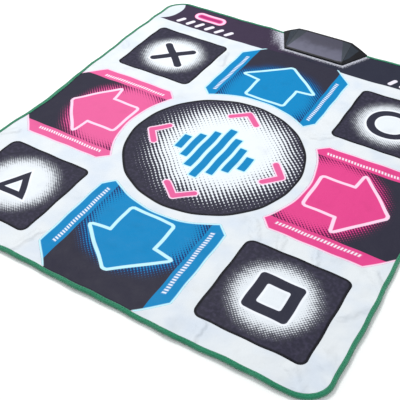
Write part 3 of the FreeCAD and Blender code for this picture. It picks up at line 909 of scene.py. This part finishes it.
def edge_path(inset, step):
    """Places along the mat's edge, inset from it: x, y and the way outwards, in mm."""
    low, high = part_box("edge_binding")
    corner = MAT_CORNER
    half = ((high.x - low.x) / 2 / MM, (high.y - low.y) / 2 / MM)
    centre = ((high.x + low.x) / 2 / MM, (high.y + low.y) / 2 / MM)
    places = []
    for quarter in range(4):
        sign = ((1, 1), (-1, 1), (-1, -1), (1, -1))[quarter]
        hub = (centre[0] + sign[0] * (half[0] - corner), centre[1] + sign[1] * (half[1] - corner))
        turns = max(3, round(corner * math.pi / 2 / step))
        for index in range(turns):
            angle = math.radians(90 * quarter) + math.pi / 2 * index / turns
            out = (math.cos(angle), math.sin(angle))
            places.append((hub[0] + out[0] * (corner - inset), hub[1] + out[1] * (corner - inset), *out))
        out = ((0, 1), (-1, 0), (0, -1), (1, 0))[quarter]
        run = 2 * (half[quarter % 2] - corner)
        ahead = ((-1, 0), (0, -1), (1, 0), (0, 1))[quarter]
        count = round(run / step)
        start = (hub[0] + out[0] * (corner - inset), hub[1] + out[1] * (corner - inset))
        for index in range(count):
            travelled = run * index / count
            places.append((start[0] + ahead[0] * travelled, start[1] + ahead[1] * travelled, *out))
    return places


def make_binding(tape_material):
    """The tape as one closed ring, a little puckered by its stitches."""
    path = np.array(edge_path(0, TAPE_STEP))
    count, around = len(path), len(TAPE_SECTION)
    steps = np.hypot(*(np.roll(path[:, :2], -1, 0) - path[:, :2]).T)
    travelled = np.concatenate([[0], np.cumsum(steps)[:-1]])
    pucker = 0.24 * np.abs(np.sin(travelled / 5.6)) + 0.12 * np.abs(np.sin(travelled / 17))
    away = np.hypot(path[:, 0] - WIDE_PLACE[0], path[:, 1] - GRID.y / MM - WIDE_PLACE[1])
    pull = np.exp(-(away / WIDE_REACH) ** 2)
    wide = TAPE_WIDTH + WIDE_MORE * pull
    points, tape = [], []
    for index, (inset, up) in enumerate(TAPE_SECTION):
        swell = pucker * (up > 4) + WIDE_RISE * pull * (up > 5.8 and inset > 6)
        inset = inset * (wide if up > 5.8 else 1)
        points.append(np.column_stack([path[:, 0] - path[:, 2] * inset, path[:, 1] - path[:, 3] * inset,
                                       up + swell]))
        tape.append(np.column_stack([travelled, np.full(count, index * 1.6), np.zeros(count)]))
    points = np.array(points).transpose(1, 0, 2).reshape(-1, 3) * MM
    tape = np.array(tape).transpose(1, 0, 2).reshape(-1, 3)
    faces = [(a * around + b, a * around + (b + 1) % around, (a + 1) % count * around + (b + 1) % around,
              (a + 1) % count * around + b) for a in range(count) for b in range(around)]
    mesh = bpy.data.meshes.new("binding_tape")
    mesh.from_pydata(points, [], faces)
    mesh.attributes.new("tape", "FLOAT_VECTOR", "POINT").data.foreach_set("vector", tape.ravel())
    lay(mesh)
    mesh.shade_smooth()
    piece = add_object("binding_tape", mesh, tape_material)
    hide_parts("edge_binding")
    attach(piece, "mat")
    return piece


def make_stitches(material):
    """A row of thread stitches along the tape."""
    places = edge_path(STITCH_INSET, STITCH_PITCH)
    points, faces = [], []
    rings = ((-0.5, 0.15), (-0.32, 1.0), (0.32, 1.0), (0.5, 0.15))
    sides, radius, top = 6, 0.42, 7.08
    for x, y, out_x, out_y in places:
        first = len(points)
        for share, girth in rings:
            for side in range(sides):
                angle = 2 * math.pi * side / sides
                aside, up = radius * girth * math.cos(angle), radius * girth * math.sin(angle)
                along = share * STITCH_LENGTH
                points.append((x - out_y * along + out_x * aside, y + out_x * along + out_y * aside,
                               top + up * 0.7 - 0.35 * (2 * share) ** 2))
        for ring_index in range(len(rings) - 1):
            for side in range(sides):
                a = first + ring_index * sides + side
                b = first + ring_index * sides + (side + 1) % sides
                faces.append((a, b, b + sides, a + sides))
        faces.append(tuple(first + side for side in reversed(range(sides))))
        faces.append(tuple(first + (len(rings) - 1) * sides + side for side in range(sides)))
    mesh = bpy.data.meshes.new("binding_stitches")
    mesh.from_pydata((np.array(points) * MM).tolist(), [], faces)
    lay(mesh)
    mesh.shade_smooth()
    piece = add_object("binding_stitches", mesh, material)
    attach(piece, "mat")
    return piece


# ------------------------------------------------------------------ the control box

SKIRT_MIDDLE = 0.008


def make_box(*materials):
    """The hipped shell with its edges rounded: a pale slope, dark edges, hips in a darker teal that is
    painted shade, and a skirt.
    """
    bm = bmesh.new()
    source = [v.co for v in frame["nodes"]["control_box_top"].data.vertices if v.co.z > SURFACE - 1e-5]
    for place in source:
        bm.verts.new(place)
    bmesh.ops.remove_doubles(bm, verts=bm.verts, dist=2e-5)
    found = bmesh.ops.convex_hull(bm, input=bm.verts)
    bmesh.ops.delete(bm, geom=[v for v in found["geom_interior"] if isinstance(v, bmesh.types.BMVert)],
                     context="VERTS")
    bmesh.ops.dissolve_limit(bm, angle_limit=math.radians(1.6), verts=bm.verts, edges=bm.edges)
    for face in bm.faces:
        if face.calc_center_median().z < SURFACE + SKIRT_MIDDLE or face.normal.y > 0.9:
            face.material_index = 3
        # the side faces take the hips' material: a darker teal, painted shade on the sides
        elif abs(face.normal.x) > 0.004:
            face.material_index = 2
    sharp = [e for e in bm.edges if len(e.link_faces) == 2 and e.calc_face_angle() > math.radians(6)
             and max(v.co.z for v in e.verts) > SURFACE + 0.001]
    bmesh.ops.bevel(bm, geom=sharp, offset=0.0016, segments=3, profile=0.6, affect="EDGES",
                    material=1, clamp_overlap=True)
    mesh = bpy.data.meshes.new("control_box_shell")
    bm.to_mesh(mesh)
    bm.free()
    mesh.shade_smooth()
    mesh.set_sharp_from_angle(angle=math.radians(35))
    piece = add_object("control_box_shell", mesh, *materials)
    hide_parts("control_box_top")
    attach(piece, "mat")


def dress_cad_nodes(shell):
    """Materials for the CAD nodes that stay as they are."""
    steel = make_plain("zinc_steel", (0.55, 0.55, 0.57), (0.40, 0.40, 0.43), 1.5, 0.3, 0.35, 1.0)
    component = make_plain("epoxy", rgb(22, 22, 24), rgb(38, 38, 42), 3, 0.8, 0.45)
    looks = {
        "clamp_plate": shell, "tail_clamp_bar": shell, "box_screws": steel, "board_screws": steel,
        "tail_clamp_screws": steel, "circuit_board": make_board_material(),
        "controller_chip": component, "capacitor": component,
        "crystal": make_plain("crystal_can", (0.8, 0.8, 0.82), (0.66, 0.66, 0.69), 2, 0.5, 0.18, 1.0),
        "cable_terminal": make_plain("nylon", rgb(232, 228, 212), rgb(214, 208, 188), 4, 0.6, 0.5),
        "cable_bush": make_plain("bush_rubber", rgb(26, 26, 29), rgb(40, 40, 44), 5, 0.4, 0.75),
        "membrane_tail": make_plain("tail_film", rgb(206, 214, 210), rgb(176, 182, 184), 6, 1.5, 0.25),
    }
    for node, material in looks.items():
        mesh = frame["nodes"][node].data
        mesh.materials.clear()
        mesh.materials.append(material)


# ------------------------------------------------------------------ the whole object

make_camera()
make_stage()
make_top_cover()
make_panels()
make_inner_layers()
make_base_cover()
make_binding(make_binding_material())
make_stitches(make_thread_material())
SKIRT = make_box_material("box_skirt", BOX_BLACK, rgb(26, 26, 32))
# the hips' colours are darker than the slope's: painted shade on the side faces
make_box(make_box_material("box_slope", rgb(62, 61, 78), rgb(92, 92, 112), 4.2),
         make_box_material("box_edges", BOX_BLACK, rgb(34, 34, 42), 4.2),
         make_box_material("box_hips_painted_shade", rgb(42, 50, 60), rgb(50, 58, 70), 4.2), SKIRT)
dress_cad_nodes(SKIRT)
